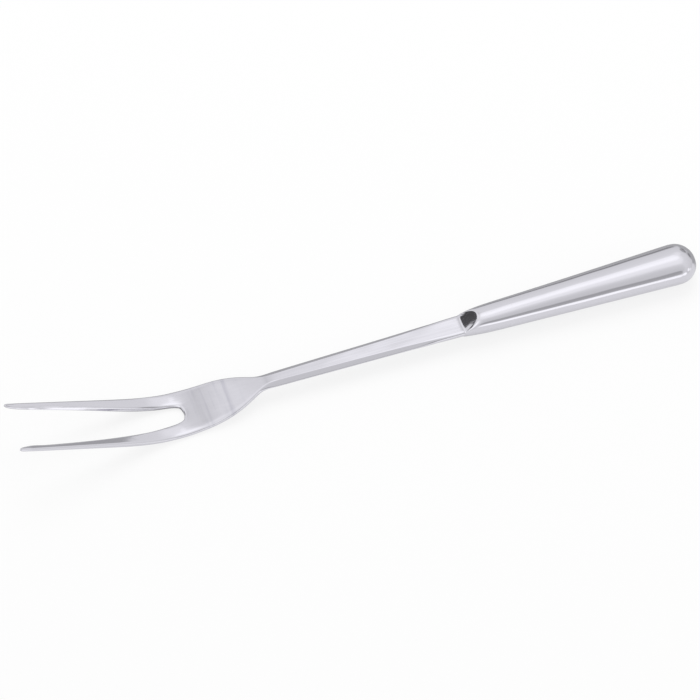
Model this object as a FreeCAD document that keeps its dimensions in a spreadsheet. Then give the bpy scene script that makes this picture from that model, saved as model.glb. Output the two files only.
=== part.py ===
import FreeCAD, Part
import math
import os

import Sketcher

# Two-tined carving fork in stainless steel, one welded and polished piece, in millimetres.
# It lies as it rests: on the underside of its palm and on its handle.
# The sketches measure x from the tips of the tines towards the handle, y across the fork
# and z up from the surface that it rests on. The body's placement then moves the origin
# to the middle of the fork's length.

# Every driving size, with what it is.
SIZES = (
    ("tine_length", 85.0, "tips of the tines to the root of the gap between them"),
    ("palm_length", 40.0, "root of the gap to the start of the neck"),
    ("neck_length", 103.0, "start of the neck to the foot of the handle's slanted face"),
    ("handle_length", 122.0, "foot of the slanted face to the end of the handle"),
    ("root_span", 27.0, "outer width over the tines where the sides start to draw in"),
    ("tip_flare", 0.6, "how far each tine leans out from there to its tip"),
    ("tine_straight", 60.0, "length of the straight outer sides of the tines"),
    ("tip_radius", 0.9, "radius of a tine's tip, seen from above"),
    ("tip_draw_radius", 20.0, "radius of the curve that draws a tine out to its tip"),
    ("tip_draw_length", 7.0, "tip of a tine to where that curve starts on its inner side"),
    ("tine_inner_radius", 900.0, "radius of the long curve that tapers a tine on its inner side"),
    ("gap_root_radius", 4.8, "radius of the root of the gap"),
    ("palm_draw_in", 1.3, "how far each side draws in from there to the start of the shoulders"),
    ("shoulder_length", 27.0, "start of the shoulders to the start of the neck"),
    ("shoulder_steepness", 1.5, "steepest slope of a shoulder, in mean slopes, from above"),
    ("shoulder_notch_radius", 6.0, "radius of the hollow where a shoulder meets the neck"),
    ("neck_root_width", 8.5, "width of the neck at the palm"),
    ("neck_end_width", 11.8, "width of the neck at the handle"),
    ("tine_angle", 24.0, "slope of the tines' underside, degrees"),
    ("tip_thickness", 2.3, "thickness of a tine at its tip"),
    ("palm_thickness", 2.6, "thickness of the palm at its lowest point"),
    ("belly_radius_under", 76.0, "radius of the palm's sweep on the underside"),
    ("belly_radius_over", 63.0, "radius of the palm's sweep on the upper side"),
    ("shoulder_angle", 12.0, "slope of the palm as it rises to the neck, degrees"),
    ("neck_bend_radius", 25.0, "radius of the bend between the palm and the neck"),
    ("neck_root_thickness", 4.0, "thickness of the neck at the palm"),
    ("neck_end_thickness", 3.0, "thickness of the neck at the handle"),
    ("rim_radius", 0.65, "rounding of the edges of tines, palm and neck"),
    ("cheek_lead", 1.5, "how far the handle's sides start before the foot of its slanted face"),
    ("cheek_tuck", 0.4, "how far the handle's front lies inside each side of the neck"),
    ("cheek_thickness", 10.4, "thickness of the handle at its front, were it not slanted"),
    ("collar_length", 11.5, "front of the handle to where its sides have drawn out"),
    ("collar_width", 14.1, "width of the handle where its sides have drawn out"),
    ("collar_thickness", 12.8, "thickness of the handle where its sides have drawn out"),
    ("handle_width", 22.0, "width of the handle where its domed end starts"),
    ("handle_thickness", 17.0, "thickness of the handle where its domed end starts"),
    ("dome_depth", 9.4, "length of the handle's domed end"),
    ("face_angle", 31.0, "slope of the handle's slanted face, degrees"),
    ("face_foot_radius", 2.0, "radius of the hollow at the foot of the slanted face"),
    ("chin_angle", 45.0, "slope of the handle's front below the neck, degrees"),
)

# How far the drawn neck runs on inside the handle, how far cuts reach past the metal, and
# what counts as no length along the fork.
EMBED = 8.0
CLEAR = 3.0
SHORT = 0.01

# Lengths and heights that follow from the driving sizes.
AXIS = "sizes.handle_thickness / 2"
HALF_TIPS = "(sizes.root_span / 2 + sizes.tip_flare)"
HALF_PALM = "(sizes.root_span / 2 - sizes.palm_draw_in)"
NECK_START = "sizes.tine_length + sizes.palm_length"
FOOT = f"({NECK_START} + sizes.neck_length)"
TOTAL = f"({FOOT} + sizes.handle_length)"
SHOULDER_START = f"({NECK_START} - sizes.shoulder_length)"
SHOULDER_DROP = f"(({HALF_PALM} - sizes.neck_root_width / 2) / sizes.shoulder_length)"
SHOULDER_SLOPE = f"(sizes.shoulder_steepness * atan({SHOULDER_DROP}))"
NECK_WIDENING = "(sizes.neck_end_width - sizes.neck_root_width) / 2 / sizes.neck_length"
NECK_THINNING = "(sizes.neck_root_thickness - sizes.neck_end_thickness) / 2 / sizes.neck_length"
NECK_END = f"({FOOT} + {EMBED})"
FRONT = f"({FOOT} - sizes.cheek_lead)"
DOME_CENTRE = f"({TOTAL} - sizes.dome_depth)"
COLLAR = f"({FRONT} + sizes.collar_length)"
SWELL = f"((sizes.handle_width - sizes.collar_width) / 2 / ({DOME_CENTRE} - {COLLAR}))"

# The dome is part of an ellipsoid. It starts a little before its widest section, at the
# latitude where its side has the handle's own slope.
DOME_STEEPNESS = f"({SWELL} * sizes.dome_depth / (sizes.handle_width / 2))"
DOME_SINE = f"(2 * {DOME_STEEPNESS} / (1 + sqrt(1 + 4 * {DOME_STEEPNESS}^2)))"
DOME_START = f"({DOME_CENTRE} - sizes.dome_depth * {DOME_SINE})"
DOME_COSINE = f"sqrt(1 - {DOME_SINE}^2)"

doc = FreeCAD.newDocument("carving_fork")

sheet = doc.addObject("Spreadsheet::Sheet", "sizes")
for row, (alias, value, meaning) in enumerate(SIZES, start=1):
    sheet.set(f"A{row}", meaning)
    sheet.set(f"B{row}", str(value))
    sheet.setAlias(f"B{row}", alias)
doc.recompute()

fork = doc.addObject("PartDesign::Body", "fork")
fork.Label = "carving_fork"


def amount(expression):
    """The present value of an expression, as a plain number."""
    result = fork.evalExpression(str(expression))
    return float(getattr(result, "Value", result))


def new_sketch(name, plane, offset=None):
    """An empty sketch on one of the body's origin planes, moved along its normal by offset."""
    sketch = fork.newObject("Sketcher::SketchObject", name)
    origin_plane = [item for item in fork.Origin.OriginFeatures if item.Role == plane][0]
    sketch.AttachmentSupport = [(origin_plane, "")]
    sketch.MapMode = "FlatFace"
    if offset is not None:
        sketch.setExpression("AttachmentOffset.Base.z", offset)
    return sketch


def bind(sketch, expression, kind, *where):
    """Add a dimension to the sketch and tie it to the sheet."""
    value = amount(expression)
    if kind == "Angle":
        value = math.radians(value)
    index = sketch.addConstraint(Sketcher.Constraint(kind, *where, value))
    sketch.setExpression(f"Constraints[{index}]", expression)


def place(sketch, geometry, point, x=None, y=None):
    """Tie one point of a sketch to the origin."""
    for kind, expression in (("DistanceX", x), ("DistanceY", y)):
        if expression is None:
            continue
        if amount(expression) < 0:
            bind(sketch, f"-({expression})", kind, geometry, point, -1, 1)
        else:
            bind(sketch, expression, kind, -1, 1, geometry, point)


def join(sketch, kind, *where):
    """Add a geometric constraint, such as Coincident or Tangent."""
    sketch.addConstraint(Sketcher.Constraint(kind, *where))


def line(sketch, start, end):
    """Add a line and return its number."""
    start_point = FreeCAD.Vector(*start, 0)
    end_point = FreeCAD.Vector(*end, 0)
    return sketch.addGeometry(Part.LineSegment(start_point, end_point))


def arc(sketch, centre, radius, first, last):
    """Add an arc, anticlockwise from the angle first to the angle last, in degrees."""
    circle = Part.Circle(FreeCAD.Vector(*centre, 0), FreeCAD.Vector(0, 0, 1), radius)
    return sketch.addGeometry(Part.ArcOfCircle(circle, math.radians(first), math.radians(last)))


def ends(sketch, number):
    """The start and the end of a line or an arc, as (x, y) pairs."""
    shape = sketch.Geometry[number]
    return tuple(shape.StartPoint)[:2], tuple(shape.EndPoint)[:2]


def bearing(start, end):
    """The direction from one point to another, in degrees from the x axis."""
    return math.degrees(math.atan2(end.y - start.y, end.x - start.x))


def corner_below(first, first_reach, second, second_reach):
    """The lower point that lies at these distances from two points, the first on the left."""
    apart = first.distanceToPoint(second)
    along = (apart ** 2 + first_reach ** 2 - second_reach ** 2) / (2 * apart)
    aside = math.sqrt(first_reach ** 2 - along ** 2)
    forward = (second - first) / apart
    return first + forward * along + FreeCAD.Vector(forward.y, -forward.x, 0) * aside


def normal(slope):
    """The direction square to a slope in degrees, on its upper side."""
    angle = math.radians(slope + 90)
    return FreeCAD.Vector(math.cos(angle), math.sin(angle), 0)


def falling_arc(sketch, start, first_slope, last_slope, chord):
    """An arc that bends down to the right from start, from one slope to a steeper one."""
    radius = chord / (2 * math.sin(math.radians((first_slope - last_slope) / 2)))
    centre = start - radius * normal(first_slope)
    return arc(sketch, centre[:2], radius, 90 + last_slope, 90 + first_slope)


def finish_sketch(sketch):
    """Stop if the sketch is not solved and fully held."""
    doc.recompute()
    if sketch.solve() != 0 or not sketch.FullyConstrained:
        raise RuntimeError(f"{sketch.Name} is not fully constrained")


def draw_side_view():
    """Tines, palm and neck from the side: a strip that sweeps up to the tips."""
    sketch = new_sketch("side_view", "XZ_Plane")
    tine = amount("sizes.tine_length")
    under = amount("sizes.belly_radius_under")
    over = amount("sizes.belly_radius_over")
    palm = amount("sizes.palm_thickness")
    rise = amount("sizes.tine_angle")
    lift = amount("sizes.shoulder_angle")
    bend = amount("sizes.neck_bend_radius")
    neck_start = amount(NECK_START)
    neck_end = amount(NECK_END)
    low = amount(f"{AXIS} - sizes.neck_end_thickness / 2")
    high = amount(f"{AXIS} + sizes.neck_end_thickness / 2")

    belly_low = arc(sketch, (tine, under), under, 270 - rise, 270 + lift)
    belly_high = arc(sketch, (tine, palm + over), over, 270 - rise, 270 + lift)
    bend_low = arc(sketch, (neck_start, low - bend), bend, 90, 90 + lift)
    bend_high = arc(sketch, (neck_start, high - bend), bend, 90, 90 + lift)

    run = tine - under * math.sin(math.radians(rise)) + CLEAR
    tip_low = (-CLEAR, ends(sketch, belly_low)[0][1] + run * math.tan(math.radians(rise)))
    tip_high = (-CLEAR, tip_low[1] + amount("sizes.tip_thickness"))
    tine_low = line(sketch, tip_low, ends(sketch, belly_low)[0])
    tine_high = line(sketch, tip_high, ends(sketch, belly_high)[0])
    rise_low = line(sketch, ends(sketch, belly_low)[1], ends(sketch, bend_low)[1])
    rise_high = line(sketch, ends(sketch, belly_high)[1], ends(sketch, bend_high)[1])
    neck_low = line(sketch, ends(sketch, bend_low)[0], (neck_end, low))
    neck_high = line(sketch, ends(sketch, bend_high)[0], (neck_end, high))
    tip_face = line(sketch, tip_low, tip_high)
    end_face = line(sketch, (neck_end, low), (neck_end, high))

    for tine_line, belly, rising, neck_bend, neck_line in (
            (tine_low, belly_low, rise_low, bend_low, neck_low),
            (tine_high, belly_high, rise_high, bend_high, neck_high)):
        join(sketch, "Tangent", tine_line, 2, belly, 1)
        join(sketch, "Tangent", belly, 2, rising, 1)
        join(sketch, "Tangent", rising, 2, neck_bend, 2)
        join(sketch, "Tangent", neck_bend, 1, neck_line, 1)
        bind(sketch, "sizes.neck_bend_radius", "Radius", neck_bend)
        bind(sketch, "sizes.shoulder_angle * 1 deg", "Angle", rising)
        place(sketch, belly, 3, x="sizes.tine_length")
        place(sketch, neck_line, 2, x=NECK_END)
    for face, lower, upper, end in ((tip_face, tine_low, tine_high, 1),
                                    (end_face, neck_low, neck_high, 2)):
        join(sketch, "Coincident", face, 1, lower, end)
        join(sketch, "Coincident", face, 2, upper, end)
    join(sketch, "Vertical", tip_face)
    place(sketch, tip_face, 1, x=str(-CLEAR))
    bind(sketch, "sizes.tip_thickness", "DistanceY", tip_face, 1, tip_face, 2)
    bind(sketch, "sizes.belly_radius_under", "Radius", belly_low)
    bind(sketch, "sizes.belly_radius_over", "Radius", belly_high)
    place(sketch, belly_low, 3, y="sizes.belly_radius_under")
    place(sketch, belly_high, 3, y="sizes.palm_thickness + sizes.belly_radius_over")
    bind(sketch, "-sizes.tine_angle * 1 deg", "Angle", tine_low)
    thinned = f"(sizes.neck_end_thickness / 2 - {EMBED} * {NECK_THINNING})"
    place(sketch, neck_low, 2, y=f"{AXIS} - {thinned}")
    place(sketch, neck_high, 2, y=f"{AXIS} + {thinned}")
    bind(sketch, f"atan({NECK_THINNING})", "Angle", neck_low)
    bind(sketch, f"-atan({NECK_THINNING})", "Angle", neck_high)
    finish_sketch(sketch)
    return sketch


def draw_waste():
    """What is cut away beside one half of the fork and between its tines, from above."""
    sketch = new_sketch("waste", "XY_Plane")
    tine = amount("sizes.tine_length")
    root = amount("sizes.gap_root_radius")
    tip = amount("sizes.tip_radius")
    draw = amount("sizes.tip_draw_radius")
    draw_length = amount("sizes.tip_draw_length")
    inner = amount("sizes.tine_inner_radius")
    notch = amount("sizes.shoulder_notch_radius")
    half_tips = amount(HALF_TIPS)
    draw_in = FreeCAD.Vector(amount("sizes.tine_straight"), amount("sizes.root_span / 2"), 0)
    palm = FreeCAD.Vector(amount(SHOULDER_START), amount(HALF_PALM), 0)
    neck_root = FreeCAD.Vector(amount(NECK_START), amount("sizes.neck_root_width / 2"), 0)
    neck_end = (amount(NECK_END), amount(f"sizes.neck_end_width / 2 + {EMBED} * {NECK_WIDENING}"))
    steepest = -amount(SHOULDER_SLOPE)
    far_side = half_tips + CLEAR

    # The tine's inner side is a long arc from the round root of the gap to the curve that
    # draws the tine out to its tip. The slope where the two meet is found step by step.
    nose_centre = FreeCAD.Vector(tip, half_tips - tip, 0)
    root_centre = FreeCAD.Vector(tine - root, 0, 0)
    meeting_angle = 85.0
    for _ in range(6):
        across = draw_length + draw * math.cos(math.radians(meeting_angle)) - tip
        along = math.sqrt((draw - tip) ** 2 - across ** 2)
        draw_centre = nose_centre + FreeCAD.Vector(across, along, 0)
        inner_centre = corner_below(draw_centre, inner + draw, root_centre, inner - root)
        meeting_angle = bearing(inner_centre, draw_centre)
    root_angle = bearing(inner_centre, root_centre)
    nose_angle = 360 + bearing(draw_centre, nose_centre)
    gap_root = arc(sketch, root_centre[:2], root, 0, root_angle)
    inner_side = arc(sketch, inner_centre[:2], inner, root_angle, meeting_angle)
    drawn = arc(sketch, draw_centre[:2], draw, nose_angle, 180 + meeting_angle)
    nose = arc(sketch, nose_centre[:2], tip, 90, nose_angle)
    outer_side = line(sketch, (tip, half_tips), draw_in[:2])

    # The side bows in from the tine to the shoulder, and more tightly over the shoulder,
    # down to the hollow at the neck.
    side_slope = bearing(FreeCAD.Vector(tip, half_tips, 0), draw_in)
    palm_slope = 2 * bearing(draw_in, palm) - side_slope
    hollow_centre = neck_root + FreeCAD.Vector(0, notch, 0)
    hollow_start = hollow_centre - notch * normal(steepest)
    side = falling_arc(sketch, draw_in, side_slope, palm_slope, draw_in.distanceToPoint(palm))
    descent = (hollow_start - palm).dot(normal(steepest))
    reach = descent / math.sin(math.radians((palm_slope - steepest) / 2))
    bow = falling_arc(sketch, palm, palm_slope, steepest, abs(reach))
    hollow = arc(sketch, hollow_centre[:2], notch, 270 + steepest, 270)
    slope = line(sketch, ends(sketch, bow)[0], ends(sketch, hollow)[0])
    neck_side = line(sketch, ends(sketch, hollow)[1], neck_end)
    back = line(sketch, neck_end, (neck_end[0], far_side))
    beside = line(sketch, (neck_end[0], far_side), (-CLEAR, far_side))
    front = line(sketch, (-CLEAR, far_side), (-CLEAR, 0))
    middle = line(sketch, (-CLEAR, 0), (tine, 0))

    join(sketch, "Tangent", gap_root, 2, inner_side, 1)
    join(sketch, "Tangent", inner_side, 2, drawn, 2)
    join(sketch, "Tangent", drawn, 1, nose, 2)
    join(sketch, "Tangent", nose, 1, outer_side, 1)
    join(sketch, "Tangent", outer_side, 2, side, 2)
    join(sketch, "Tangent", side, 1, bow, 2)
    join(sketch, "Tangent", bow, 1, slope, 1)
    join(sketch, "Tangent", slope, 2, hollow, 1)
    join(sketch, "Tangent", hollow, 2, neck_side, 1)
    join(sketch, "Coincident", neck_side, 2, back, 1)
    join(sketch, "Coincident", back, 2, beside, 1)
    join(sketch, "Coincident", beside, 2, front, 1)
    join(sketch, "Coincident", front, 2, middle, 1)
    join(sketch, "Coincident", middle, 2, gap_root, 1)
    join(sketch, "Vertical", back)
    join(sketch, "Horizontal", beside)
    join(sketch, "Vertical", front)
    join(sketch, "PointOnObject", front, 2, -1)
    join(sketch, "PointOnObject", gap_root, 1, -1)
    join(sketch, "PointOnObject", gap_root, 3, -1)

    bind(sketch, "sizes.gap_root_radius", "Radius", gap_root)
    bind(sketch, "sizes.tine_inner_radius", "Radius", inner_side)
    bind(sketch, "sizes.tip_draw_radius", "Radius", drawn)
    place(sketch, drawn, 2, x="sizes.tip_draw_length")
    bind(sketch, "sizes.tip_radius", "Radius", nose)
    bind(sketch, f"-{SHOULDER_SLOPE}", "Angle", slope)
    bind(sketch, "sizes.shoulder_notch_radius", "Radius", hollow)
    place(sketch, gap_root, 3, x="sizes.tine_length - sizes.gap_root_radius")
    place(sketch, nose, 3, x="sizes.tip_radius", y=f"{HALF_TIPS} - sizes.tip_radius")
    place(sketch, outer_side, 2, x="sizes.tine_straight", y="sizes.root_span / 2")
    place(sketch, bow, 2, x=SHOULDER_START, y=HALF_PALM)
    place(sketch, hollow, 3, x=NECK_START)
    place(sketch, neck_side, 2, x=NECK_END,
          y=f"sizes.neck_end_width / 2 + {EMBED} * {NECK_WIDENING}")
    bind(sketch, f"atan({NECK_WIDENING})", "Angle", neck_side)
    place(sketch, front, 1, x=str(-CLEAR), y=f"{HALF_TIPS} + {CLEAR}")
    finish_sketch(sketch)
    return sketch


def draw_oval(name, where, width, thickness):
    """An oval section across the handle, at the place where along the fork."""
    sketch = new_sketch(name, "YZ_Plane", offset=where)
    half_width = amount(width) / 2
    half_thickness = amount(thickness) / 2
    height = amount(AXIS)
    side = FreeCAD.Vector(half_width, height, 0)
    top = FreeCAD.Vector(0, height + half_thickness, 0)
    centre = FreeCAD.Vector(0, height, 0)
    lies_flat = half_width >= half_thickness
    corners = (side, top) if lies_flat else (top, side)
    oval = sketch.addGeometry(Part.Ellipse(*corners, centre))
    sketch.exposeInternalGeometry(oval)
    long_axis = oval + 1
    short_axis = oval + 2
    join(sketch, "PointOnObject", oval, 3, -2)
    place(sketch, oval, 3, y=AXIS)
    join(sketch, "Horizontal" if lies_flat else "Vertical", long_axis)
    bind(sketch, width if lies_flat else thickness, "Distance", long_axis)
    bind(sketch, thickness if lies_flat else width, "Distance", short_axis)
    finish_sketch(sketch)
    return sketch


def draw_slanted_front():
    """What is cut away above the neck, in front of the handle's slanted face, from the side."""
    sketch = new_sketch("slanted_front", "XZ_Plane")
    top = amount(f"{AXIS} + sizes.neck_end_thickness / 2")
    face = amount("sizes.face_angle")
    hollow_radius = amount("sizes.face_foot_radius")
    foot = amount(FOOT)
    ahead = amount(f"{FRONT} - {CLEAR}")
    reach = amount(f"sizes.handle_thickness + {CLEAR}")
    hollow_x = foot - hollow_radius * math.tan(math.radians(face / 2))
    hollow = arc(sketch, (hollow_x, top + hollow_radius), hollow_radius, 270, 270 + face)
    floor = line(sketch, (ahead, top), ends(sketch, hollow)[0])
    slant_top = (foot + (reach - top) / math.tan(math.radians(face)), reach)
    slant = line(sketch, ends(sketch, hollow)[1], slant_top)
    lid = line(sketch, slant_top, (ahead, reach))
    side = line(sketch, (ahead, reach), (ahead, top))
    join(sketch, "Tangent", floor, 2, hollow, 1)
    join(sketch, "Tangent", hollow, 2, slant, 1)
    join(sketch, "Coincident", slant, 2, lid, 1)
    join(sketch, "Coincident", lid, 2, side, 1)
    join(sketch, "Coincident", side, 2, floor, 1)
    join(sketch, "Horizontal", lid)
    join(sketch, "Vertical", side)
    bind(sketch, "sizes.face_foot_radius", "Radius", hollow)
    bind(sketch, f"-atan({NECK_THINNING})", "Angle", floor)
    bind(sketch, "sizes.face_angle * 1 deg", "Angle", slant)
    run = f"(sizes.cheek_lead + {CLEAR})"
    place(sketch, floor, 1, x=f"{FRONT} - {CLEAR}",
          y=f"{AXIS} + sizes.neck_end_thickness / 2 + {run} * {NECK_THINNING}")
    place(sketch, hollow, 3,
          x=f"{FOOT} - sizes.face_foot_radius * tan(sizes.face_angle * 1 deg / 2)")
    place(sketch, lid, 1, y=f"sizes.handle_thickness + {CLEAR}")
    finish_sketch(sketch)
    return sketch


def draw_chin():
    """What is cut away below the neck, in front of the handle, from the side."""
    sketch = new_sketch("chin", "XZ_Plane")
    under_neck = f"{AXIS} - sizes.neck_end_thickness / 2 - sizes.cheek_lead * {NECK_THINNING}"
    start = (amount(FRONT), amount(under_neck))
    chin = amount("sizes.chin_angle")
    end = (start[0] + (start[1] + CLEAR) / math.tan(math.radians(chin)), -CLEAR)
    slant = line(sketch, start, end)
    bottom = line(sketch, end, (start[0], -CLEAR))
    side = line(sketch, (start[0], -CLEAR), start)
    join(sketch, "Coincident", slant, 2, bottom, 1)
    join(sketch, "Coincident", bottom, 2, side, 1)
    join(sketch, "Coincident", side, 2, slant, 1)
    join(sketch, "Horizontal", bottom)
    join(sketch, "Vertical", side)
    place(sketch, slant, 1, x=FRONT, y=under_neck)
    place(sketch, bottom, 1, y=str(-CLEAR))
    bind(sketch, "-sizes.chin_angle * 1 deg", "Angle", slant)
    finish_sketch(sketch)
    return sketch


def checked(feature, change):
    """Recompute, and stop if the feature is broken or did not add or remove metal."""
    before = 0.0 if fork.Shape.isNull() else fork.Shape.Volume
    doc.recompute()
    after = fork.Shape.Volume
    print(f"{feature.Name}: {before:.0f} to {after:.0f} cubic mm")
    if not feature.isValid() or (after - before) * change <= 0:
        raise RuntimeError(f"{feature.Name} failed")
    return feature


def cut_through(name, sketch):
    """Cut a sketch through the whole fork, to both sides of its plane."""
    pocket = fork.newObject("PartDesign::Pocket", name)
    pocket.Profile = sketch
    pocket.SideType = "Symmetric"
    pocket.Type = "ThroughAll"
    return checked(pocket, -1)


def handle_part(kind, name, front, *others):
    """Add or remove a part of the handle that runs straight from oval to oval."""
    loft = fork.newObject(f"PartDesign::{kind}Loft", name)
    loft.Profile = front
    loft.Sections = list(others)
    loft.Ruled = True
    return checked(loft, 1 if kind == "Additive" else -1)


def dome_part(kind, name, depth, width, thickness, latitude):
    """Add or remove the domed end of the handle, the part of an ellipsoid past a latitude."""
    dome = fork.newObject(f"PartDesign::{kind}Ellipsoid", name)
    dome.AttachmentSupport = [(item, "") for item in fork.Origin.OriginFeatures
                              if item.Role == "YZ_Plane"]
    dome.MapMode = "FlatFace"
    dome.setExpression("AttachmentOffset.Base.y", AXIS)
    dome.setExpression("AttachmentOffset.Base.z", DOME_CENTRE)
    dome.setExpression("Radius1", depth)
    dome.setExpression("Radius2", width)
    dome.setExpression("Radius3", thickness)
    dome.setExpression("Angle1", latitude)
    dome.Angle2 = 90
    return checked(dome, 1 if kind == "Additive" else -1)


def round_rims():
    """Round the edges that run along the fork, and none that only run up or across."""
    blade = fork.Tip
    names = [f"Edge{number}" for number, edge in enumerate(blade.Shape.Edges, start=1)
             if edge.BoundBox.XLength > SHORT]
    rounding = fork.newObject("PartDesign::Fillet", "soft_rims")
    rounding.Base = (blade, names)
    rounding.setExpression("Radius", "sizes.rim_radius")
    checked(rounding, -1)


def make_blade():
    """Tines, palm and neck: the side view as a slab, cut to the outline seen from above."""
    slab = fork.newObject("PartDesign::Pad", "slab")
    slab.Profile = draw_side_view()
    slab.SideType = "Symmetric"
    slab.setExpression("Length", f"2 * {HALF_TIPS} + {CLEAR}")
    checked(slab, 1)
    half_cut = cut_through("half_cut", draw_waste())
    both_cuts = fork.newObject("PartDesign::Mirrored", "both_cuts")
    both_cuts.Originals = [half_cut]
    both_cuts.MirrorPlane = ([item for item in fork.Origin.OriginFeatures
                              if item.Role == "XZ_Plane"][0], [""])
    fork.Tip = both_cuts
    checked(both_cuts, -1)
    round_rims()


def make_handle():
    """The handle: a tapering oval with a domed end and a slanted front."""
    front = draw_oval("handle_front", FRONT, "sizes.neck_end_width - 2 * sizes.cheek_tuck",
                      "sizes.cheek_thickness")
    collar = draw_oval("handle_collar", COLLAR, "sizes.collar_width", "sizes.collar_thickness")
    rear = draw_oval("handle_rear", DOME_START, "sizes.handle_width", "sizes.handle_thickness")
    handle_part("Additive", "grip", front, collar, rear)
    dome_part("Additive", "dome", "sizes.dome_depth",
              f"sizes.handle_width / 2 / {DOME_COSINE}",
              f"sizes.handle_thickness / 2 / {DOME_COSINE}",
              f"-asin({DOME_SINE})")
    cut_through("face_cut", draw_slanted_front())
    cut_through("chin_cut", draw_chin())


make_blade()
make_handle()

fork.setExpression("Placement.Base.x", f"-{TOTAL} / 2")
doc.recompute()
for item in doc.Objects:
    if "Invalid" in item.State or "Error" in item.State:
        raise RuntimeError(f"{item.Name} is {item.State}")
if fork.Shape.isNull() or not fork.Shape.isValid() or len(fork.Shape.Solids) != 1:
    raise RuntimeError("the fork is not one valid solid")

os.makedirs("parts", exist_ok=True)
fork.Shape.exportStep("parts/carving_fork.step")
box = fork.Shape.optimalBoundingBox(True, False)
print(f"{fork.Label}: x {box.XMin:.2f} to {box.XMax:.2f}, y {box.YMin:.2f} to {box.YMax:.2f},"
      f" z {box.ZMin:.2f} to {box.ZMax:.2f}, {fork.Shape.Volume:.0f} cubic mm")
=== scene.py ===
# %% [markdown]
# # A carving fork in polished stainless steel
# The real fork starts as a flat blank of steel with two tines. It is pressed to its sweep,
# its edges are rounded and polished, and an oval handle is welded on behind the neck.
# The lesson goes the same way: a flat sheet is thickened, pressed to the side view, rounded,
# and then drawn out ring by ring into the handle.

# %% Load the frame
import math

import bmesh
import bpy
from mathutils import Matrix, Vector


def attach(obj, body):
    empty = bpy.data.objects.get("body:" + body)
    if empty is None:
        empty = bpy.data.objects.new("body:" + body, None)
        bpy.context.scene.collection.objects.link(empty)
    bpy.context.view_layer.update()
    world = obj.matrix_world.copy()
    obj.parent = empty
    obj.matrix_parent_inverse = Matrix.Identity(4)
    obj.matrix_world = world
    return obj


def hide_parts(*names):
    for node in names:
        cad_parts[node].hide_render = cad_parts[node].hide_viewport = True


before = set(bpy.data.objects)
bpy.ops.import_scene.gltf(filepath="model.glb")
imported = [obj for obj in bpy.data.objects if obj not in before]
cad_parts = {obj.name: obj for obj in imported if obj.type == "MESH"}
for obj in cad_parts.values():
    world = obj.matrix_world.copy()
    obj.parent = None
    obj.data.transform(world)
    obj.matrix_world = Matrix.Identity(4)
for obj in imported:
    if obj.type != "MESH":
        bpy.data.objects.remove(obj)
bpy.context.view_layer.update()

# %% [markdown]
# ## Sizes
# All sizes of the fork are in millimetres. Along the fork, x is measured from the tips of
# the tines, so a value can be read off the real thing with a rule. The middle of the fork's
# length is the origin, so `TIPS` shifts x when a point is placed.

# %% Sizes and small helpers
MM = 0.001
TIPS = -175.0
# Two places nearer to each other than this are the same place.
NEAR = 0.01
# Height of the middle of the neck and the handle, and where the neck starts and ends.
AXIS = 8.5
NECK_START = 125.0
FOOT = 228.0


def select_only(mesh, wanted):
    """Select the faces, edges or vertices of an edit mesh that wanted picks out."""
    for item in mesh:
        item.select_set(bool(wanted(item)))


def edit_mesh(piece):
    """The mesh of the piece in edit mode, ready for reading and selecting."""
    mesh = bmesh.from_edit_mesh(piece.data)
    mesh.verts.ensure_lookup_table()
    return mesh


def station(vertex):
    """How far a vertex is from the tips, in millimetres."""
    return vertex.co.x / MM - TIPS


def stands_at(vertex, x):
    """Whether a vertex is at x."""
    return abs(station(vertex) - x) < NEAR


def along(x, points):
    """The value at x on straight lines between points that hold x and a value."""
    for (start, low), (end, high) in zip(points, points[1:]):
        if x <= end:
            return low + (high - low) * max(0.0, x - start) / (end - start)
    return points[-1][1]


print("fork from", TIPS, "to", -TIPS, "mm, neck from", NECK_START, "to", FOOT, "mm from the tips")

# %% [markdown]
# ## The blank
# Seen from above, one half of the blade is a strip of four-sided faces. The strip starts
# as one plane at the root of the gap and is extruded row by row, first towards the neck
# and then along the tine. The rows stand closer where the outline turns, because the
# subdivision that comes later follows its rows.

# %% Rows of the half blank
# Each row holds x and the outer side. The palm's rows start in the middle of the fork.
PALM_ROWS = [
    (91.5, 12.60), (98.0, 12.25), (103.5, 11.62), (108.0, 10.65), (112.0, 9.45),
    (116.0, 7.85), (119.5, 6.15), (122.0, 4.95), (124.5, 4.30), (128.0, 4.28),
    (134.0, 4.38), (150.0, 4.65), (175.0, 5.05), (200.0, 5.45), (214.0, 5.68), (221.0, 5.79),
]
# A tine's rows hold x, the inner side and the outer side.
TINE_ROWS = [
    (80.6, 5.05, 13.10), (76.0, 5.35, 13.20), (68.0, 6.22, 13.40), (58.0, 7.28, 13.52),
    (46.0, 8.36, 13.64), (34.0, 9.30, 13.76), (23.0, 10.00, 13.87), (14.0, 10.50, 13.96),
    (8.0, 10.78, 14.02), (4.5, 11.12, 14.05), (2.0, 11.70, 14.08), (0.0, 12.45, 13.95),
]
ROOT_ROW = (85.0, 12.95)
print("rows of the palm and neck:", len(PALM_ROWS), "and of the tine:", len(TINE_ROWS))

# %% Draw the blank out row by row
# How far across each vertex of a full row lies. A tine's shorter rows are spread evenly.
COLUMNS = (0.0, 0.30, 0.66, 1.0)
FIRST_SHEET = 10.0


def place_row(piece, x, inner, outer):
    """Put the selected row of vertices at x, spread from the inner to the outer side."""
    mesh = edit_mesh(piece)
    row = sorted((v for v in mesh.verts if v.select), key=lambda v: v.co.y)
    full = len(row) == len(COLUMNS)
    for number, vertex in enumerate(row):
        share = COLUMNS[number] if full else number / (len(row) - 1)
        vertex.co = Vector((x + TIPS, inner + share * (outer - inner), 0)) * MM
    bmesh.update_edit_mesh(piece.data)


def extrude_row(piece, x, inner, outer):
    """Draw the selected row of edges out into one more row of faces."""
    bpy.ops.mesh.extrude_edges_move()
    place_row(piece, x, inner, outer)


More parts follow.
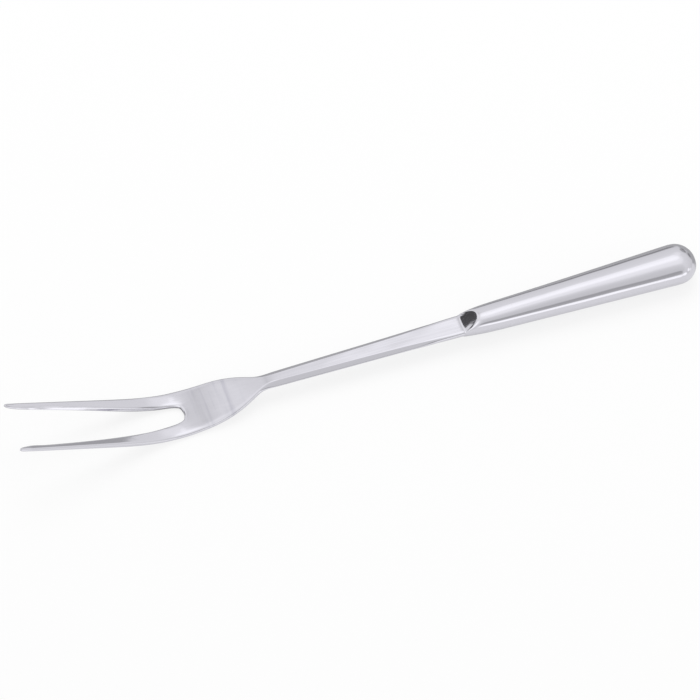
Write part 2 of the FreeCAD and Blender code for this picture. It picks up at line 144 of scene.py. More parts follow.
bpy.ops.object.select_all(action="DESELECT")
bpy.ops.mesh.primitive_grid_add(x_subdivisions=1, y_subdivisions=len(COLUMNS) - 1,
                                size=FIRST_SHEET * MM)
fork = bpy.context.active_object
fork.name = "polished_fork"
bpy.ops.object.mode_set(mode="EDIT")
# The sheet's front edge becomes the row at the root, and its back edge the next row.
front_x = min(station(v) for v in edit_mesh(fork).verts)
for at_front, (x, outer) in ((True, ROOT_ROW), (False, PALM_ROWS[0])):
    mesh = edit_mesh(fork)
    select_only(mesh.verts, lambda v: stands_at(v, front_x) == at_front)
    mesh.select_flush_mode()
    place_row(fork, x, 0.0, outer)
    front_x = ROOT_ROW[0]
for x, outer in PALM_ROWS[1:]:
    extrude_row(fork, x, 0.0, outer)
print("vertices from the root of the gap to the handle:", len(edit_mesh(fork).verts))

# %% [markdown]
# ## The tine
# At the root of the gap the row's middle vertices are drawn forwards, and the two outer
# faces go on alone as the tine. The vertex at the corner sits on the round of the gap, so
# the subdivided edge runs round it and meets the other half square to the middle.

# %% Draw the tine out of the root row
ROOT_MIDDLE = (85.35, 0.0)
ROOT_CORNER = (84.3, 3.75)
BESIDE_ROOT = (84.2, 8.6)

mesh = edit_mesh(fork)
root_row = sorted((v for v in mesh.verts if stands_at(v, ROOT_ROW[0])), key=lambda v: v.co.y)
for vertex, (x, y) in zip(root_row, (ROOT_MIDDLE, ROOT_CORNER, BESIDE_ROOT)):
    vertex.co = Vector((x + TIPS, y, 0)) * MM
select_only(mesh.verts, lambda v: v in root_row[1:])
mesh.select_flush_mode()
for x, inner, outer in TINE_ROWS:
    extrude_row(fork, x, inner, outer)
print("vertices with the tine:", len(edit_mesh(fork).verts))

# %% [markdown]
# ## Thickness and sweep
# The flat sheet is extruded downwards and both skins are pressed to the side view. The
# faces that this leaves on the middle and at the neck's end are taken away again, because
# the other half and the handle go there. The upper and the lower side each have a
# straight tine, a round belly, a rise and the level neck, and their radii differ, so the
# steel is thicker in the neck than in the palm, as on the real fork. The top of each tine
# leans down towards the gap, which is why only the near tine mirrors the dark side of the
# tent in the photograph.

# %% The side view
BELLY_X = 85.0
# Height of the belly, its radius, and the angle at which the tine falls to it.
UPPER_SIDE = (2.6, 63.0, 22.85)
LOWER_SIDE = (0.0, 76.0, 24.0)
# The angles at which the palm rises to the neck and a tine's top leans, in degrees.
RISE = 12.0
TWIST = 7.0
TWIST_RUN = ((0.0, 1.0), (50.0, 1.0), (63.0, 0.0))
# Half the neck's thickness at its start and at its end.
NECK_HALVES = (2.0, 1.5)
OUTER_SIDE = [(x, outer) for x, inner, outer in reversed(TINE_ROWS)]
INNER_SIDE = [(x, inner) for x, inner, outer in reversed(TINE_ROWS)]


def sweep(x, side, neck_height):
    """Height of one side of the blade at x, in millimetres."""
    lowest, radius, fall = side
    tine_end = BELLY_X - radius * math.sin(math.radians(fall))
    rise_start = BELLY_X + radius * math.sin(math.radians(RISE))
    if x < tine_end:
        top = lowest + radius * (1 - math.cos(math.radians(fall)))
        return top + (tine_end - x) * math.tan(math.radians(fall))
    if x < rise_start:
        return lowest + radius - math.sqrt(radius ** 2 - (x - BELLY_X) ** 2)
    rising = lowest + radius * (1 - math.cos(math.radians(RISE)))
    rising += (x - rise_start) * math.tan(math.radians(RISE))
    return min(rising, neck_height)


def twist_down(x, y):
    """How far the top of a tine leans down towards the gap, in millimetres."""
    width = max(0.0, along(x, OUTER_SIDE) - y)
    return width * math.tan(math.radians(TWIST)) * along(x, TWIST_RUN)


def neck_half_thickness(x):
    """Half the neck's thickness at x, which falls towards the handle."""
    start, end = NECK_HALVES
    return start - (start - end) * (x - NECK_START) / (FOOT - NECK_START)


print("upper side at the tips before it leans:", round(sweep(0.0, UPPER_SIDE, AXIS), 2), "mm")

# %% Press the two skins to the side view
SHEET_DEPTH = 1.0

bpy.ops.mesh.select_all(action="SELECT")
bpy.ops.mesh.extrude_region_move(TRANSFORM_OT_translate={"value": (0, 0, -SHEET_DEPTH * MM)})
mesh = edit_mesh(fork)
last_row = PALM_ROWS[-1][0]
for vertex in mesh.verts:
    x = station(vertex)
    if vertex.co.z > -SHEET_DEPTH / 2 * MM:
        height = sweep(x, UPPER_SIDE, AXIS + neck_half_thickness(x))
        vertex.co.z = (height - twist_down(x, vertex.co.y / MM)) * MM
    else:
        vertex.co.z = sweep(x, LOWER_SIDE, AXIS - neck_half_thickness(x)) * MM
select_only(mesh.faces, lambda f: all(abs(v.co.y) < NEAR * MM for v in f.verts)
            or all(stands_at(v, last_row) for v in f.verts))
bpy.ops.mesh.delete(type="FACE")
bpy.ops.mesh.select_all(action="SELECT")
bpy.ops.mesh.normals_make_consistent(inside=False)
print("blade faces:", len(edit_mesh(fork).faces))

# %% [markdown]
# ## Soft rims
# Stamped edges are ground and polished round. One flat bevel along every sharp edge gives
# the subdivision two rows of vertices to round over, instead of one corner.

# %% Bevel the rims
RIM = 0.75
SHARP_ANGLE = 50.0

bpy.ops.mesh.select_mode(type="EDGE")
bpy.ops.mesh.select_all(action="DESELECT")
bpy.ops.mesh.edges_select_sharp(sharpness=math.radians(SHARP_ANGLE))
bpy.ops.mesh.bevel(offset=RIM * MM, offset_type="OFFSET", segments=1, affect="EDGES",
                   clamp_overlap=False)
print("faces with rims:", len(edit_mesh(fork).faces))

# %% [markdown]
# ## Ground sides
# The neck's long edges are ground off at a slant that starts behind the shoulders and runs
# out before the handle, and the inner sides of the tines lean back. In the photograph these
# faces are the darker band along the neck and the white line along the far tine. Only rows
# of the bevel move, so no face is added, and a crease keeps the slanted faces flat.

# %% Slant the neck's edges and the tines' inner sides
# The slant of the neck's edge and the height of what is left upright. Each run holds x
# and how much of the grinding is done there.
CHAMFER_ANGLE = 36.5
CHAMFER_EDGE = 0.5
CHAMFER_RUN = ((122.0, 0.0), (128.0, 1.0), (200.0, 1.0), (214.0, 0.35), (221.0, 0.0))
# How far the top of a tine's inner side moves back, and the strip beside the gap that does.
LEAN = 0.68
LEAN_RUN = ((8.0, 0.0), (14.0, 1.0), (68.0, 1.0), (80.0, 0.0))
LEAN_STRIP = 1.5 * RIM

mesh = edit_mesh(fork)
for vertex in mesh.verts:
    x, y, z = station(vertex), vertex.co.y / MM, vertex.co.z / MM
    if CHAMFER_RUN[0][0] < x < CHAMFER_RUN[-1][0]:
        share, side, half = along(x, CHAMFER_RUN), along(x, PALM_ROWS), neck_half_thickness(x)
        width = (half - CHAMFER_EDGE / 2) / math.tan(math.radians(CHAMFER_ANGLE))
        if side - y < RIM / 2:
            edge = AXIS + math.copysign(CHAMFER_EDGE / 2, z - AXIS)
            vertex.co.z = (z + share * (edge - z)) * MM
        else:
            vertex.co.y *= 1 - share * (width - RIM) / (side - RIM)
    elif LEAN_RUN[0][0] < x < LEAN_RUN[-1][0]:
        from_gap = y - along(x, INNER_SIDE)
        middle = (sweep(x, UPPER_SIDE, AXIS) + sweep(x, LOWER_SIDE, AXIS)) / 2
        if from_gap < LEAN_STRIP and z > middle - twist_down(x, y) / 2:
            vertex.co.y += LEAN * along(x, LEAN_RUN) * MM
bmesh.update_edit_mesh(fork.data)
print("neck ground at", CHAMFER_ANGLE, "degrees, tines leaned back by", LEAN, "mm")

# %% Crease the long edges
CREASE = 0.45
CREASED = ((4.0, 78.0), (127.0, 215.0))
FOLD_ANGLE = 20.0
LONG = 1.0


def is_long_fold(edge):
    """Whether an edge runs along the tine or the neck where two faces meet at an angle."""
    runs = any(all(start < station(v) < end for v in edge.verts) for start, end in CREASED)
    length = abs(station(edge.verts[0]) - station(edge.verts[1]))
    return runs and length > LONG and edge.calc_face_angle(0) > math.radians(FOLD_ANGLE)


mesh = edit_mesh(fork)
select_only(mesh.edges, is_long_fold)
creased = sum(1 for e in mesh.edges if e.select)
bpy.ops.transform.edge_crease(value=CREASE)
print("edges creased along the tine and the neck:", creased)

# %% [markdown]
# ## The handle
# The neck's open end is a half ring of vertices. It is extruded ring by ring: to the foot
# of the handle, up the slanted face and down the chin at once, over the rim, and back along
# the oval. Each ring's vertices keep their order, so the same rows that run along the neck
# run on up the slanted face and along the handle.

# %% The handle's oval
HANDLE_FRONT = 226.5
# Where the tapers start and end: x, half the width and half the thickness.
FRONT = (HANDLE_FRONT, 5.5, 5.2)
COLLAR = (238.0, 7.05, 6.4)
DOME = (340.6, 11.0, 8.5)
# How much squarer the upper half of the oval is at its front, and where that has gone.
SQUARE_FRONT = 0.2
SQUARE_END = 275.0
# Subdivision draws a ring of points 20 degrees apart inwards. This makes up for it.
RING_STEP = 20.0
ROUND = 3 / (2 + math.cos(math.radians(RING_STEP)))


def handle_half(x):
    """Half the handle's width and thickness at x, along straight tapers."""
    start, end = (FRONT, COLLAR) if x < COLLAR[0] else (COLLAR, DOME)
    share = (x - start[0]) / (end[0] - start[0])
    return tuple(start[i] + share * (end[i] - start[i]) for i in (1, 2))


def oval_point(angle, x, scale=1.0):
    """A point of the handle's oval at x, at an angle above the level, in millimetres."""
    width, thickness = handle_half(x)
    across, up = math.cos(angle), math.sin(angle)
    if up > 0:
        square = 1 - SQUARE_FRONT * min(1.0, max(0.0, (SQUARE_END - x) / (SQUARE_END - FOOT)))
        across, up = abs(across) ** square, up ** square
    return Vector((x, scale * ROUND * width * across, AXIS + scale * ROUND * thickness * up))


print("width and thickness before the dome:", [2 * size for size in handle_half(DOME[0])])

# %% [markdown]
# ### The rim of the slanted face
# The rim is the line where a sloping plane cuts the oval. The oval grows along the handle,
# so each point of the rim is found in a few rounds: take the oval at x, see how high its
# point is, and move x to where the slope has that height.

# %% Where the oval meets the slope
# The slanted face and the chin below it leave the neck at these angles.
FACE_ANGLE = 31.0
CHIN_ANGLE = 45.0
FIRST_GUESS = 0.6
ROUNDS = 8


def front_point(angle):
    """Where the handle's oval meets its slanted face above or its chin below."""
    x = HANDLE_FRONT + FIRST_GUESS
    for _ in range(ROUNDS):
        point = oval_point(angle, x)
        half = neck_half_thickness(FOOT)
        if point.z > AXIS + half:
            x = FOOT + (point.z - AXIS - half) / math.tan(math.radians(FACE_ANGLE))
        elif point.z < AXIS - half:
            x = HANDLE_FRONT + (AXIS - half - point.z) / math.tan(math.radians(CHIN_ANGLE))
    return oval_point(angle, x)


print("top of the rim, mm from the tips:", round(front_point(math.radians(90)).x, 2))

# %% [markdown]
# ### Rings
# One helper draws every ring out of the last one. It extrudes the edges, numbers the new
# vertices from the top round to the bottom, and asks a second function where each one goes.

# %% Draw a ring out, and the half ring to start from
def extrude_ring(piece, place):
    """Extrude the selected half ring and place each vertex by its number, top to bottom."""
    bpy.ops.mesh.extrude_edges_move()
    mesh = edit_mesh(piece)
    ring = [v for v in mesh.verts if v.select]
    ring.sort(key=lambda v: math.atan2(v.co.z - AXIS * MM, v.co.y), reverse=True)
    for number, vertex in enumerate(ring):
        point = place(number, math.radians(90 - 180 * number / (len(ring) - 1)))
        vertex.co = Vector((point.x + TIPS, point.y, point.z)) * MM
        if number in (0, len(ring) - 1):
            vertex.co.y = 0
    bmesh.update_edit_mesh(piece.data)


mesh = edit_mesh(fork)
select_only(mesh.edges, lambda e: len(e.link_faces) == 1
            and all(stands_at(v, last_row) for v in e.verts))
mesh.select_flush_mode()
neck_ring = sorted((v.co.copy() for v in mesh.verts if v.select),
                   key=lambda p: math.atan2(p.z - AXIS * MM, p.y), reverse=True)
print("vertices in the half ring:", len(neck_ring))

# %% [markdown]
# ## The slanted face
# The rings climb from the neck's own section to the oval of the handle. Two rings lie in
# the face itself and draw in a little, so the flat of the face ends in a round rim.

# %% Rings on the slanted face
# How wide and thick the foot is beside the neck, and how far it lies before FOOT.
FOOT_TRIM = (1.012, 0.978)
FOOT_BACK = 0.4
# The first vertices of a ring lie on the face, whose middle is crowned by so much.
FACE_VERTICES = 4
FACE_CROWN = 0.5
# Share of the way up the face and how much the ring draws in there.
FACE_RINGS = ((0.0, 0.0), (0.24, 0.05), (0.78, 0.15), (1.0, 0.05))


def foot_point(number):
    """The neck's own section, at the foot of the slanted face."""
    point = neck_ring[number] / MM
    x = FOOT - FOOT_BACK if point.z > AXIS else HANDLE_FRONT
    return Vector((x, point.y * FOOT_TRIM[0], AXIS + (point.z - AXIS) * FOOT_TRIM[1]))


def up_the_face(share, draw_in):
    """A ring that lies this share of the way from the foot to the rim."""
    def place(number, angle):
        point = foot_point(number).lerp(front_point(angle), share)
        if number < FACE_VERTICES:
            from_middle = point.y / foot_point(FACE_VERTICES - 1).y
            point.z -= FACE_CROWN * (1 - abs(2 * share - 1)) * from_middle ** 2
            point.y *= 1 - draw_in
        return point
    return place


print("foot of the face, half its width:", round(foot_point(FACE_VERTICES - 1).y, 2), "mm")

# %% Draw the handle out of the neck
BEFORE_FOOT = 1.9
# Distance behind the handle's front and how much of the front's slant is left.
RIM_RINGS = ((1.6, 1.0), (5.0, 0.9), (13.0, 0.5))
HANDLE_RINGS = (255.0, 280.0, 308.0, 328.0, 336.0, DOME[0])


def behind_the_rim(gap, lean):
    """A ring behind the rim, which keeps this share of the front's slant."""
    def place(number, angle):
        slant = front_point(angle).x - HANDLE_FRONT
        return oval_point(angle, HANDLE_FRONT + gap + slant * lean)
    return place


def before_the_foot(number, angle):
    """The neck's own section a little before the foot."""
    return foot_point(number) - Vector((BEFORE_FOOT, 0, 0))


extrude_ring(fork, before_the_foot)
for share, draw_in in FACE_RINGS:
    extrude_ring(fork, up_the_face(share, draw_in))
for gap, lean in RIM_RINGS:
    extrude_ring(fork, behind_the_rim(gap, lean))
for x in HANDLE_RINGS:
    extrude_ring(fork, lambda number, angle: oval_point(angle, x))
rings = 1 + len(FACE_RINGS) + len(RIM_RINGS) + len(HANDLE_RINGS)
print("rings from the neck to the dome:", rings)

# %% [markdown]
# ## The domed end
# The end is half an ellipsoid. A few rings shrink along it, and the last one is filled
# with a small grid instead of a fan, because a fan's middle point shows in polished steel.

# %% Rings of the dome
DOME_DEPTH = 9.4
# The dome is deeper by this factor, because the subdivision draws it inwards too.
DOME_ROUND = 1.018
DOME_RINGS = (22, 44, 62)


def dome_point(latitude):
    """A ring of the dome, at an angle from its widest section."""
    def place(number, angle):
        point = oval_point(angle, DOME[0], scale=math.cos(latitude))
        point.x = DOME[0] + DOME_DEPTH * DOME_ROUND * math.sin(latitude)
        return point
    return place


for degrees in DOME_RINGS:
    extrude_ring(fork, dome_point(math.radians(degrees)))
end_x = max(station(v) for v in edit_mesh(fork).verts)
print("the last ring is at", round(end_x, 2), "mm, and", len(neck_ring), "vertices long")

# %% Other half and end cap
END_SPAN = 4

bpy.ops.object.mode_set(mode="OBJECT")
mirror = fork.modifiers.new("other half", "MIRROR")
mirror.use_axis = (False, True, False)
mirror.use_clip = True
mirror.merge_threshold = NEAR * MM
bpy.ops.object.modifier_apply(modifier=mirror.name)

bpy.ops.object.mode_set(mode="EDIT")
bpy.ops.mesh.select_mode(type="EDGE")
mesh = edit_mesh(fork)
select_only(mesh.edges, lambda e: all(stands_at(v, end_x) for v in e.verts))
bpy.ops.mesh.fill_grid(span=END_SPAN)
mesh = edit_mesh(fork)
for vertex in mesh.verts:
    if stands_at(vertex, end_x) and not vertex.is_boundary:
        across = vertex.co.y / (DOME[1] * ROUND * MM)
        up = (vertex.co.z / MM - AXIS) / (DOME[2] * ROUND)
        depth = math.sqrt(max(0.0, 1 - across ** 2 - up ** 2))
        vertex.co.x = (DOME[0] + TIPS + DOME_DEPTH * DOME_ROUND * depth) * MM
bmesh.update_edit_mesh(fork.data)
bpy.ops.mesh.select_all(action="SELECT")
bpy.ops.mesh.normals_make_consistent(inside=False)
mesh = edit_mesh(fork)
print("open edges:", sum(1 for e in mesh.edges if len(e.link_faces) != 2),
      "faces:", len(mesh.faces))
bpy.ops.object.mode_set(mode="OBJECT")

# %% [markdown]
# ## Smoothing
# Subdivision turns the coarse cage into the polished surface. It is applied, so the fork is
# a plain mesh, and three levels keep its facets out of the reflections.

# %% Smooth the whole fork
LEVELS = 3

smooth = fork.modifiers.new("polished", "SUBSURF")
smooth.levels = LEVELS
smooth.render_levels = LEVELS
bpy.ops.object.modifier_apply(modifier=smooth.name)
bpy.ops.object.shade_smooth()
print("triangles:", 2 * len(fork.data.polygons))

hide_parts("carving_fork")
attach(fork, "root")

# %% [markdown]
# ## Polished stainless steel
# The fork is stainless steel, polished on a buffing wheel until it is a mirror. A mirror
# takes nearly all its look from what stands round it, so the steel's own colour is one
# light grey with a trace of blue. What makes it look like worked metal, and not like
# plating, are three faint things: lines from the wheel, a slow unevenness from the press,
# and painted darker bands across the palm, which stand in for the wobble of its reflection.
# First come two helpers that each material uses.

# %% A colour and a node
def linear(hex_colour):
    """An sRGB hex colour as linear red, green, blue and alpha, by the sRGB standard."""
    channels = [int(hex_colour[i:i + 2], 16) / 255 for i in (1, 3, 5)]
    return [c / 12.92 if c <= 0.04045 else ((c + 0.055) / 1.055) ** 2.4
            for c in channels] + [1.0]


def add_node(tree, kind, links=None, **settings):
    """Add a node, set its properties and sockets, and link its inputs by name or number."""
    node = tree.nodes.new(kind)
    for name, value in settings.items():
        if hasattr(node, name):
            setattr(node, name, value)
        else:
            node.inputs[name.replace("_", " ")].default_value = value
    for name, source in (links or {}).items():
        tree.links.new(source, node.inputs[name])
    return node


STEEL_GREY = "#D3D2D9"
print("steel grey in linear light:", [round(c, 3) for c in linear(STEEL_GREY)])

# %% [markdown]
# ### Stretched noise
# All three faint things are noise that is stretched along one direction. The size of its
# patches is given in millimetres, and the object's own coordinates are in metres, so one
# over the size is the scale.

# %% Steel material and its stretched noise
steel = bpy.data.materials.new("buffed_stainless_steel")
steel.use_nodes = True
steel_tree = steel.node_tree
shader = steel_tree.nodes["Principled BSDF"]
shader.inputs["Metallic"].default_value = 1.0
steel_place = add_node(steel_tree, "ShaderNodeTexCoord")


def stretched_noise(length, width, detail):
    """Noise on the steel whose patches have this length and width in millimetres."""
    scale = (1 / (length * MM), 1 / (width * MM), 1 / (width * MM))
    stretched = add_node(steel_tree, "ShaderNodeMapping",
                         {"Vector": steel_place.outputs["Object"]}, Scale=scale)
    return add_node(steel_tree, "ShaderNodeTexNoise", {"Vector": stretched.outputs["Vector"]},
                    Scale=1.0, Detail=detail).outputs["Fac"]


print("steel nodes so far:", len(steel_tree.nodes))

# %% [markdown]
# ### Buffing lines and haze
# The wheel runs along the fork, so its lines are long and thin. Where they lie closer, the
# mirror is a little hazier, so the lines set the roughness: 0.05 is a clean mirror and 0.12
# a soft one. Real lines are about 0.05 mm wide. A pixel of this picture covers 0.5 mm, so
# they are drawn about 1.4 mm wide, as the bundles of lines that the eye sees from here.

# %% Buffing lines
CLEAN, HAZY = 0.05, 0.12
# Between these values of the noise the steel goes from clean to hazy.
HAZE_START, HAZE_FULL = 0.35, 0.7

buffing = stretched_noise(length=55.0, width=1.4, detail=3.0)
haze = add_node(steel_tree, "ShaderNodeMapRange", {"Value": buffing},
                From_Min=HAZE_START, From_Max=HAZE_FULL, To_Min=CLEAN, To_Max=HAZY)
steel_tree.links.new(haze.outputs["Result"], shader.inputs["Roughness"])
print("roughness from", CLEAN, "to", HAZY)

# %% [markdown]
# ### Unevenness
# Pressed steel is never quite flat. Swells about 22 mm long and 11 mm wide, a fifth of a
# millimetre high, bend long reflections a little, and the buffing lines lie on top of them.

# %% Slow swells and fine grooves
SWELL_HEIGHT = 0.18
GROOVE_DEPTH = 0.02

swells = add_node(steel_tree, "ShaderNodeBump",
                  {"Height": stretched_noise(length=22.0, width=11.0, detail=1.0)},
                  Strength=1.0, Distance=SWELL_HEIGHT * MM)
grooves = add_node(steel_tree, "ShaderNodeBump",
                   {"Height": buffing, "Normal": swells.outputs["Normal"]},
                   Strength=1.0, Distance=GROOVE_DEPTH * MM)
steel_tree.links.new(grooves.outputs["Normal"], shader.inputs["Normal"])
print("swells", SWELL_HEIGHT, "mm high, grooves", GROOVE_DEPTH, "mm deep")

# %% [markdown]
# ### Painted reflection bands
# The photograph shows a few faint darker streaks across the palm, where its reflection
# wobbles. They are painted into the steel's colour as darker bands about 3 mm apart, which
# fade out towards the gap and the neck and darken the grey only a little.

# %% Painted reflection bands across the palm
# The darker grey of the painted reflection bands.
PAINTED_BAND_GREY = "#C5C4CD"
# Between these values of the noise a painted band goes from nothing to its full tone.
PAINTED_BAND_START, PAINTED_BAND_FULL = 0.45, 0.7
# Along the palm, x where there are no painted bands and x where they are all there.
PAINTED_BANDS_BEGIN = (86.0, 96.0)
PAINTED_BANDS_END = (117.0, 107.0)


def mix_colours(tree, factor, first, second):
    """A node that goes from the first to the second hex colour with the factor."""
    mix = add_node(tree, "ShaderNodeMix", {"Factor": factor}, data_type="RGBA")
    mix.inputs["A"].default_value = linear(first)
    mix.inputs["B"].default_value = linear(second)
    return mix.outputs["Result"]


painted_streaks = add_node(steel_tree, "ShaderNodeMapRange",
                   {"Value": stretched_noise(length=3.0, width=50.0, detail=2.0)},
                   interpolation_type="SMOOTHSTEP", From_Min=PAINTED_BAND_START, From_Max=PAINTED_BAND_FULL)
steel_sides = add_node(steel_tree, "ShaderNodeSeparateXYZ",
                       {"Vector": steel_place.outputs["Object"]})
painted_bands = painted_streaks.outputs["Result"]
for none, all_of_it in (PAINTED_BANDS_BEGIN, PAINTED_BANDS_END):
    fade = add_node(steel_tree, "ShaderNodeMapRange", {"Value": steel_sides.outputs["X"]},
                    interpolation_type="SMOOTHSTEP", From_Min=(none + TIPS) * MM,
                    From_Max=(all_of_it + TIPS) * MM)
    painted_bands = add_node(steel_tree, "ShaderNodeMath", {0: painted_bands, 1: fade.outputs["Result"]},
                     operation="MULTIPLY").outputs[0]
# Painted reflection: the steel's grey darkens along the bands across the palm.
steel_tree.links.new(mix_colours(steel_tree, painted_bands, STEEL_GREY, PAINTED_BAND_GREY),
                     shader.inputs["Base Color"])
fork.data.materials.clear()
fork.data.materials.append(steel)
print("steel nodes:", len(steel_tree.nodes))

# %% [markdown]
# ## The floor
# The fork lies on plain matt paper that keeps its soft shadow. In the photograph the paper
# is burnt out to white and hardly a shadow is left, so the camera gets it mixed with plain
# white. The steel sees a little less of that white in front of the fork. Under and behind
# the fork it sees the paper with painted shade, a darker grey that stands in for the shade
# there and draws the darker line along the far rims.

# %% Floor
# In metres, because the floor is far larger than the fork.
FLOOR_SIZE = 6.0
PAPER_ROUGHNESS = 0.9

bpy.ops.object.select_all(action="DESELECT")
bpy.ops.mesh.primitive_plane_add(size=FLOOR_SIZE, location=(0, 0, 0))
floor = bpy.context.active_object
floor.name = "floor"
paper = bpy.data.materials.new("matt_white_paper")
paper.use_nodes = True
sheet = paper.node_tree
matt = sheet.nodes["Principled BSDF"]
matt.inputs["Roughness"].default_value = PAPER_ROUGHNESS
floor.data.materials.append(paper)
print("floor, metres across:", FLOOR_SIZE)

# %% Painted shade on the paper that the steel mirrors
PAPER, PAINTED_SHADE_PAPER = "#F4F4F4", "#B8B8B8"
# It darkens to the painted shade between these distances behind the middle of the fork.
PAINTED_SHADE_FROM, PAINTED_SHADE_TO = -10.0, 4.0

floor_place = add_node(sheet, "ShaderNodeTexCoord")
floor_sides = add_node(sheet, "ShaderNodeSeparateXYZ", {"Vector": floor_place.outputs["Object"]})
behind = add_node(sheet, "ShaderNodeMapRange", {"Value": floor_sides.outputs["Y"]},
                  interpolation_type="SMOOTHSTEP", From_Min=PAINTED_SHADE_FROM * MM,
                  From_Max=PAINTED_SHADE_TO * MM)
ray_kind = add_node(sheet, "ShaderNodeLightPath")
mirrored_behind = add_node(sheet, "ShaderNodeMath", {
    0: behind.outputs["Result"], 1: ray_kind.outputs["Is Glossy Ray"]}, operation="MULTIPLY")
mirrored_in_front = add_node(sheet, "ShaderNodeMath", {
    0: ray_kind.outputs["Is Glossy Ray"], 1: mirrored_behind.outputs[0]}, operation="SUBTRACT")
# Painted shade: under and behind the fork the steel mirrors the paper in a darker grey.
sheet.links.new(mix_colours(sheet, mirrored_behind.outputs[0], PAPER, PAINTED_SHADE_PAPER),
                matt.inputs["Base Color"])
print("paper", PAPER, "mirrored behind the fork as", PAINTED_SHADE_PAPER)

# %% The white that the camera and the steel see
# Share of plain white in the paper that the camera sees and in the one that steel mirrors.
SEEN_WHITENED, MIRRORED_WHITENED = 0.8, 0.6

mirrored_white = add_node(sheet, "ShaderNodeMath", {0: mirrored_in_front.outputs[0]},
                          operation="MULTIPLY")
mirrored_white.inputs[1].default_value = MIRRORED_WHITENED
whitened = add_node(sheet, "ShaderNodeMath", {
    0: ray_kind.outputs["Is Camera Ray"], 2: mirrored_white.outputs[0]},
    operation="MULTIPLY_ADD")
whitened.inputs[1].default_value = SEEN_WHITENED
white = add_node(sheet, "ShaderNodeEmission", Color=(1.0, 1.0, 1.0, 1.0), Strength=1.0)
surface = add_node(sheet, "ShaderNodeMixShader", {
    0: whitened.outputs[0], 1: matt.outputs["BSDF"], 2: white.outputs["Emission"]})
sheet.links.new(surface.outputs["Shader"], sheet.nodes["Material Output"].inputs["Surface"])
print("paper nodes:", len(sheet.nodes))

# %% [markdown]
# ## The tent
# The photograph is taken in a tent of white cloth, and what the steel mirrors is the tent:
# white all round, a little greyer low down, lighter where lamps shine through, and darker
# where the opening, the camera and the seams are. Each of these is one soft round patch,
# placed by following the reflection from the spot on the fork where the photograph shows
# it. Only mirrored rays see the tent. The shadow and the paper get a plain white world.

# %% Patches of the tent
# A patch holds its direction (azimuth from +Y towards +X, and elevation), how far it
# reaches and how far it stays full, all in degrees, and how much it adds to the white.
TENT_LOW, TENT_TOP = 0.84, 1.03
PATCHES = [
    # Above the fork, where the level faces and the top of the handle look.
    (33, 68, 15, 2, 0.22), (25, 57, 4, 0, 0.14), (58, 73, 26, 6, 0.18),
    (-6, 57, 13, 0, -0.10), (-12, 57, 6, 4, -0.07), (-34, 60, 16, 0, 0.12),
    # Behind the camera, where the near flank of the handle and of the neck looks.
    (168, 48, 32, 0, -0.17), (168, 29.5, 14, 8, -0.29), (170, 7, 13, 5, 0.58),
    (152, 8, 11, 5, 0.60),
    # The dark opening that the handle's front face mirrors, and light in its rim.
    (-44, 38, 11, 8, -0.86), (-130, 48, 36, 10, 0.45),
    # Low behind the fork, where the near tine, the far rims and the dome look.
    (45, 18, 12, 8, -0.40), (34, 48, 12, 3, 0.13), (12, 3, 13, 0, -0.50),
    (40, 4, 12, 3, -0.30), (60, 10, 14, 6, -0.20), (68, 3, 14, 4, -0.36),
    # Low beyond the handle's end, where only the dome looks.
    (117, 2, 9, 2, 0.35), (127, 14, 9, 6, 0.45),
]


def towards(azimuth, elevation):
    """The direction from the fork to a place on the tent."""
    a, e = math.radians(azimuth), math.radians(elevation)
    return (math.sin(a) * math.cos(e), math.cos(a) * math.cos(e), math.sin(e))


print("patches:", len(PATCHES), "first towards:", [round(c, 2) for c in towards(*PATCHES[0][:2])])

# %% World
# Strength of the world as a light and as the camera sees it.
PLAIN_LIGHT = 0.75
SEEN_WHITE = 1.0

world = bpy.data.worlds.new("tent")
bpy.context.scene.world = world
world.use_nodes = True
sky = world.node_tree
background = sky.nodes["Background"]
background.inputs["Color"].default_value = (1, 1, 1, 1)
ray = add_node(sky, "ShaderNodeTexCoord")
heights = add_node(sky, "ShaderNodeSeparateXYZ", {"Vector": ray.outputs["Generated"]})
tent = add_node(sky, "ShaderNodeMapRange", {"Value": heights.outputs["Z"]},
                To_Min=TENT_LOW, To_Max=TENT_TOP).outputs["Result"]
for azimuth, elevation, reach, full, change in PATCHES:
    near = add_node(sky, "ShaderNodeVectorMath", {0: ray.outputs["Generated"]},
                    operation="DOT_PRODUCT")
    near.inputs[1].default_value = towards(azimuth, elevation)
    patch = add_node(sky, "ShaderNodeMapRange", {"Value": near.outputs["Value"]},
                     interpolation_type="SMOOTHSTEP",
                     From_Min=math.cos(math.radians(reach)),
                     From_Max=math.cos(math.radians(full)), To_Max=change)
    tent = add_node(sky, "ShaderNodeMath", {0: patch.outputs["Result"], 1: tent},
                    operation="ADD").outputs[0]

path = add_node(sky, "ShaderNodeLightPath")
seen = add_node(sky, "ShaderNodeMath", {
    0: path.outputs["Is Camera Ray"], 1: path.outputs["Is Transmission Ray"]},
    operation="MAXIMUM")
plain_light = add_node(sky, "ShaderNodeMapRange", {"Value": seen.outputs[0]},
                       To_Min=PLAIN_LIGHT, To_Max=SEEN_WHITE)
strength = add_node(sky, "ShaderNodeMix", {
    "Factor": path.outputs["Is Glossy Ray"], "A": plain_light.outputs["Result"], "B": tent},
    data_type="FLOAT")
sky.links.new(strength.outputs["Result"], background.inputs["Strength"])
print("world nodes:", len(sky.nodes))

# %% [markdown]
# ## The lamp
# One large soft box high behind the handle gives the faint shadow on the near side. The
# steel doesn't see it, because a patch of the tent already stands for its reflection, and
# a bare lamp would draw a hard white square on the polished handle.

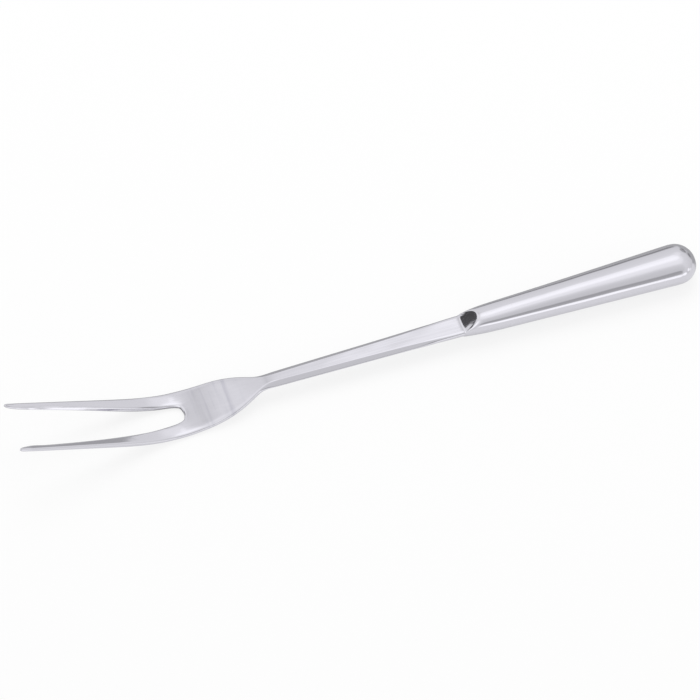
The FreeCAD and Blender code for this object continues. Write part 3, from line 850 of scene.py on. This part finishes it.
# %% Lamp
# Size and place are in metres.
LAMP_SIZE = 1.2
LAMP_PLACE = (0.3, 0.8, 1.5)
LAMP_WATTS = 12

lamp_data = bpy.data.lights.new("soft_box", "AREA")
lamp_data.size = LAMP_SIZE
lamp_data.energy = LAMP_WATTS
lamp = bpy.data.objects.new("soft_box", lamp_data)
bpy.context.scene.collection.objects.link(lamp)
lamp.location = LAMP_PLACE
lamp.rotation_euler = (-lamp.location).to_track_quat("-Z", "Y").to_euler()
lamp.visible_glossy = False
print("lamp, metres from the fork:", round(lamp.location.length, 2))

# %% [markdown]
# ## The camera
# The camera looks down on the fork at 56.5 degrees, from the near tine's side, turned 19.4
# degrees towards the handle. The fork's long lines stay nearly parallel in the photograph,
# so the lens is long and the camera stands more than two metres off.

# %% Camera
ELEVATION = math.radians(56.49)
TURN = math.radians(19.42)
ROLL = math.radians(0.38)
# The lens's length in pixels, the width of the picture, and what one pixel covers in mm.
FOCAL_PIXELS = 4500
IMAGE = 700
PIXEL_ON_FORK = 0.485
SENSOR = 36.0
AIM = Vector((-4.85, 0, 15.28)) * MM

forward = Vector((math.sin(TURN) * math.cos(ELEVATION), math.cos(TURN) * math.cos(ELEVATION),
                  -math.sin(ELEVATION)))
level = Vector((math.cos(TURN), -math.sin(TURN), 0))
upright = level.cross(forward)
right = level * math.cos(ROLL) + upright * math.sin(ROLL)
up = upright * math.cos(ROLL) - level * math.sin(ROLL)
distance = FOCAL_PIXELS * PIXEL_ON_FORK * MM
camera_data = bpy.data.cameras.new("camera")
camera_data.sensor_width = SENSOR
camera_data.lens = FOCAL_PIXELS * SENSOR / IMAGE
camera = bpy.data.objects.new("camera", camera_data)
bpy.context.scene.collection.objects.link(camera)
axes = Matrix((right, up, -forward)).transposed().to_4x4()
camera.matrix_world = Matrix.Translation(AIM - forward * distance) @ axes
bpy.context.scene.camera = camera
bpy.context.scene.view_settings.view_transform = "Standard"
print("camera, metres from the fork:", round(distance, 3), "lens in mm:", round(camera_data.lens))
